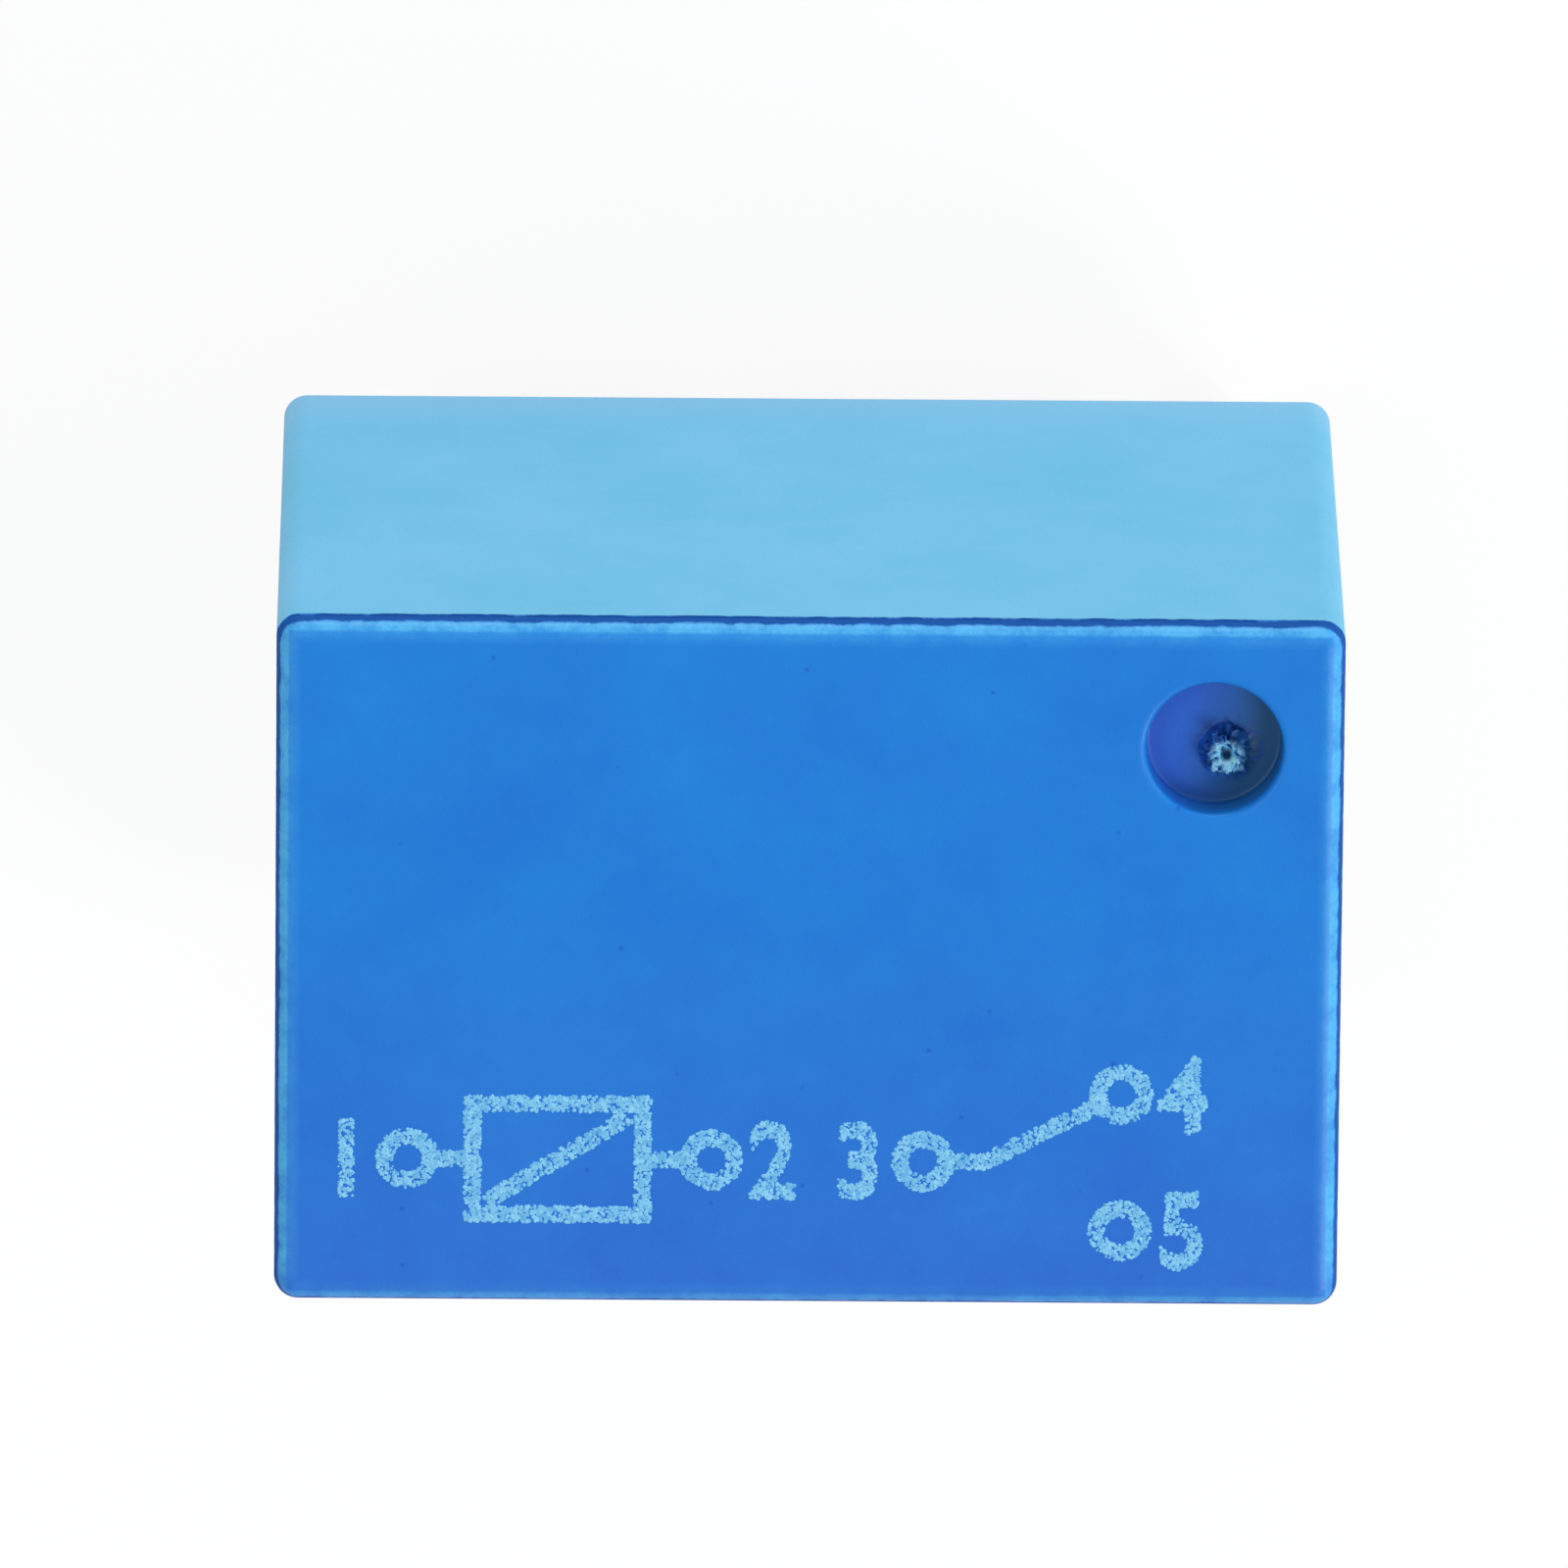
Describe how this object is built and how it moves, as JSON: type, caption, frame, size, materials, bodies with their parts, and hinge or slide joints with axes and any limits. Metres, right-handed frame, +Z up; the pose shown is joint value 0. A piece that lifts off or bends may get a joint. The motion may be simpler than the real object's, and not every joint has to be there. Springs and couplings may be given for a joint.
{
  "type": "pcb power relay",
  "caption": "Sealed box-shaped power relay for a circuit board, with a rocking armature and a changeover contact inside and straight solder pins below.",
  "frame": {"origin": "centre of the seating plane, where the rim of the case stands on the board", "axes": "+X along the case from the common pins to the contact pins, +Z up from the board to the marked top face, +Y towards the side with the vent dimple"},
  "size_m": [0.0156, 0.0104, 0.0149],
  "materials": {
    "cover_plastic": "satin moulded",
    "resin": "poured, glossy",
    "base_plastic": "moulded",
    "iron": "nickel plated",
    "bobbin_plastic": "moulded",
    "copper_wire": "enamelled",
    "tinned_brass": "tin plated",
    "solder": "bright",
    "spring_bronze": "rolled",
    "contact_silver": "polished"
  },
  "bodies": {
    "relay_frame": {"cover": "cover_plastic", "seal_resin": "resin", "base": "base_plastic", "yoke": "iron", "core": "iron", "bobbin": "bobbin_plastic", "coil_winding": "copper_wire", "coil_pin_a": "tinned_brass", "coil_pin_b": "tinned_brass", "solder_a": "solder", "solder_b": "solder", "common_terminal": "tinned_brass", "nc_terminal": "tinned_brass", "no_terminal": "tinned_brass", "nc_contact": "contact_silver", "no_contact": "contact_silver"},
    "armature_unit": {"armature": "iron", "contact_spring": "spring_bronze", "moving_contact": "contact_silver"}
  },
  "joints": [
    {"name": "armature_hinge", "type": "hinge", "parent": "relay_frame", "child": "armature_unit", "pos_m": [-0.00588, 0, 0.00788], "axis": [0, 1, 0], "range_deg": [0, 2.5], "stiffness_Nm_per_rad": 0.01, "springref_deg": -2.86, "deforming": ["contact_spring"]}
  ]
}
